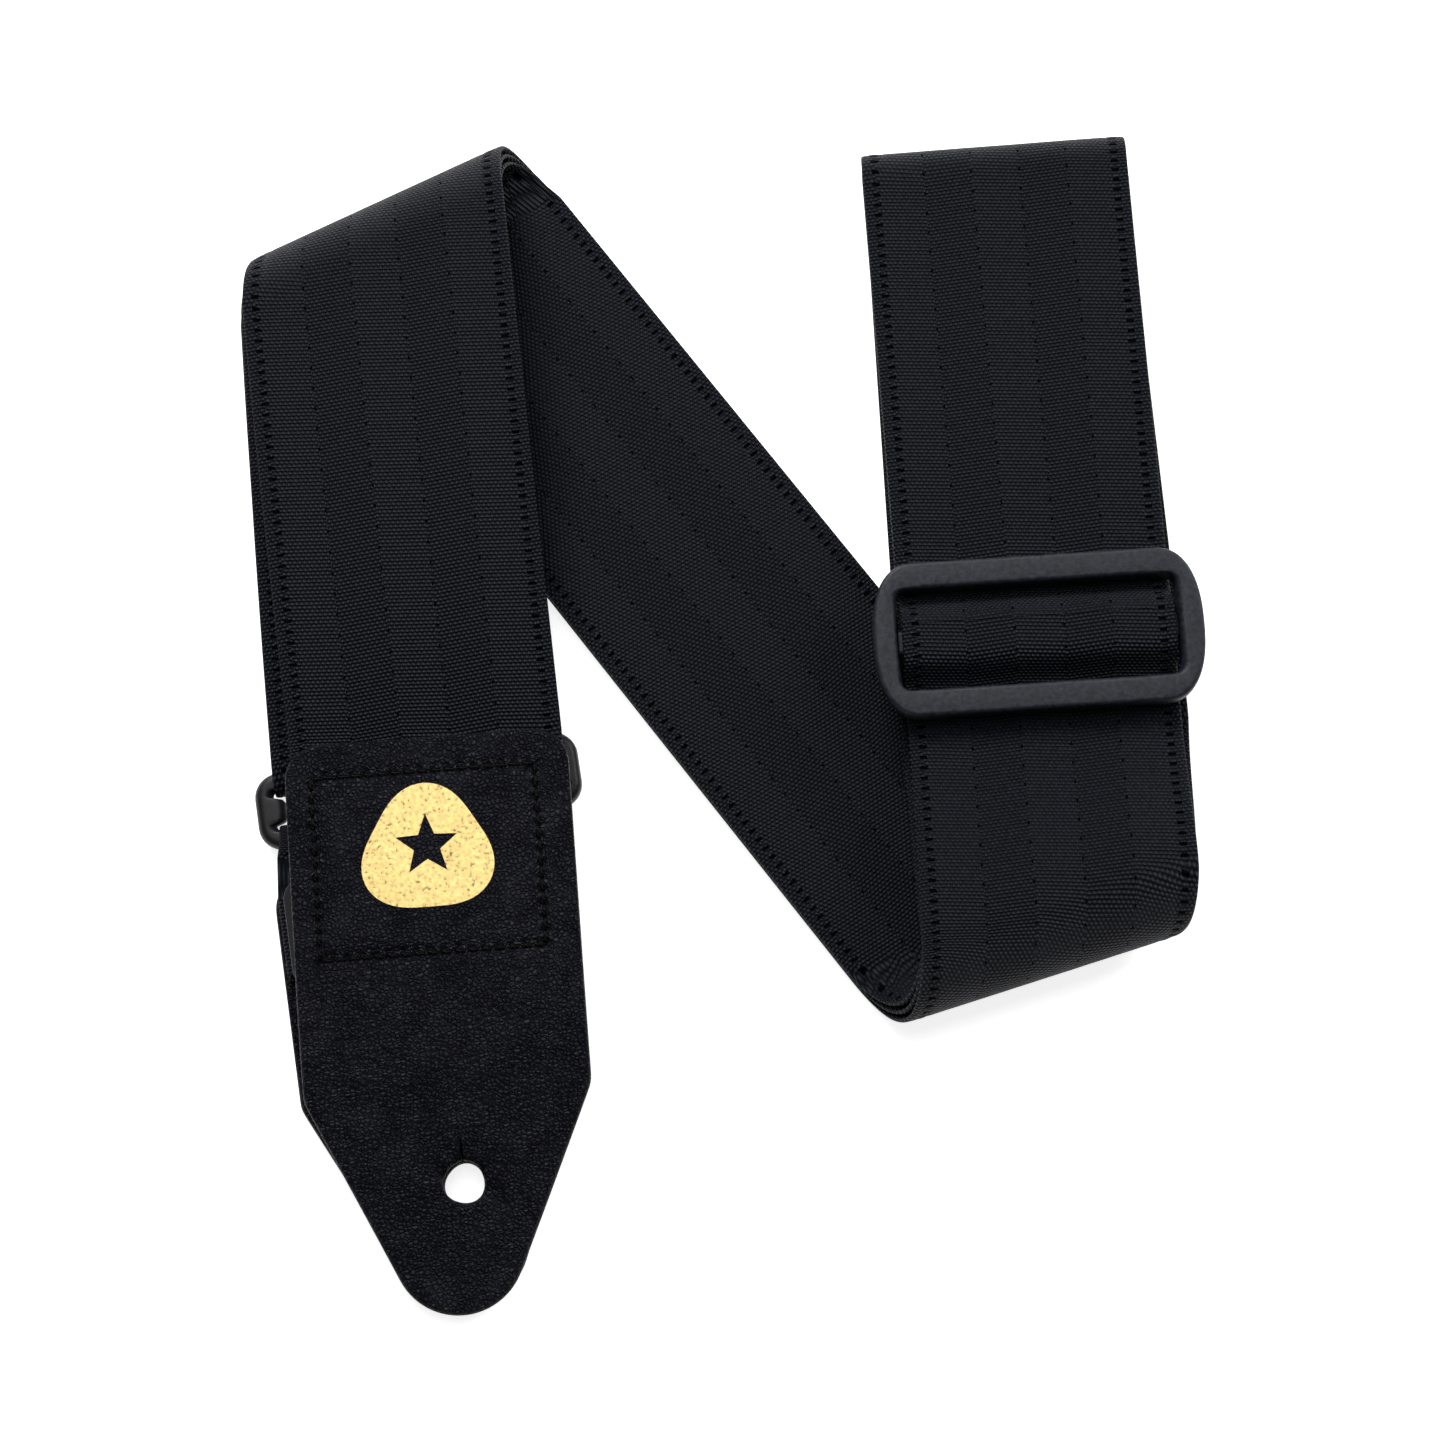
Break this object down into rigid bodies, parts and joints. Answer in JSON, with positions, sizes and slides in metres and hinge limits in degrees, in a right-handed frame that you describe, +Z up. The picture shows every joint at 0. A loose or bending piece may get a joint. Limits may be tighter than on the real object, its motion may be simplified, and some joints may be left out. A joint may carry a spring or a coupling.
{
  "type": "guitar strap",
  "caption": "Folded woven guitar strap with leather button-hole ends, a plastic slider over its adjusting loop and a rectangular ring.",
  "frame": {"origin": "middle of the folded strap's footprint, on the surface it lies on", "axes": "+X across the folded strap, +Y along its runs towards the top-right fold, +Z up from the surface"},
  "size_m": [0.1798, 0.2258, 0.0206],
  "materials": {
    "webbing": "woven seat-belt weave, slight sheen",
    "leather": "smooth, fine grain",
    "backing": "split leather, matte",
    "thread": "waxed nylon",
    "foil": "hot-stamped gold foil",
    "slider": "fine spark-eroded texture",
    "ring": "satin moulded"
  },
  "bodies": {
    "strap": {"webbing_front_left_run": "webbing", "webbing_front_top_left_fold": "webbing", "webbing_front_diagonal": "webbing", "webbing_front_bottom_fold": "webbing", "webbing_front_right_lower": "webbing", "webbing_front_right_upper": "webbing", "webbing_top_right_fold": "webbing", "webbing_back_right_run": "webbing", "webbing_back_bottom_fold": "webbing", "webbing_back_diagonal": "webbing", "webbing_back_top_left_fold": "webbing", "webbing_back_left_run": "webbing", "webbing_ring_loop": "webbing", "webbing_middle_left_run": "webbing", "webbing_middle_top_left_fold": "webbing", "webbing_middle_diagonal": "webbing", "webbing_middle_bottom_fold": "webbing", "webbing_middle_right_run": "webbing", "webbing_inner_top_right_fold": "webbing", "webbing_inner_right_upper": "webbing", "front_leather_end": "leather", "front_backing_patch": "backing", "front_box_stitching": "thread", "foil_emblem": "foil"},
    "slider": {"slider_frame": "slider", "webbing_over_slider_bar": "webbing", "webbing_slider_end_loop": "webbing", "slider_end_stitching": "thread"},
    "ring": {"ring": "ring"},
    "rear_end": {"rear_leather_end": "leather", "rear_backing_patch": "backing", "rear_box_stitching": "thread", "rear_end_tab": "webbing"}
  },
  "joints": [
    {"name": "slider_slide", "type": "slide", "parent": "strap", "child": "slider", "axis": [-0.0663, 0.9978, 0], "range_m": [-0.002, 0.045], "deforming": ["webbing_front_right_upper", "webbing_front_right_lower", "webbing_inner_right_upper", "webbing_over_slider_bar", "webbing_slider_end_loop", "slider_end_stitching"]},
    {"name": "ring_pivot", "type": "hinge", "parent": "strap", "child": "ring", "pos_m": [-0.05723, -0.0102, 0.0035], "axis": [0.9885, 0.1513, 0], "range_deg": [0, 100]},
    {"name": "rear_end_pivot", "type": "hinge", "parent": "ring", "child": "rear_end", "pos_m": [-0.05554, -0.02127, 0.0035], "axis": [0.9885, 0.1513, 0], "range_deg": [0, 80]}
  ]
}
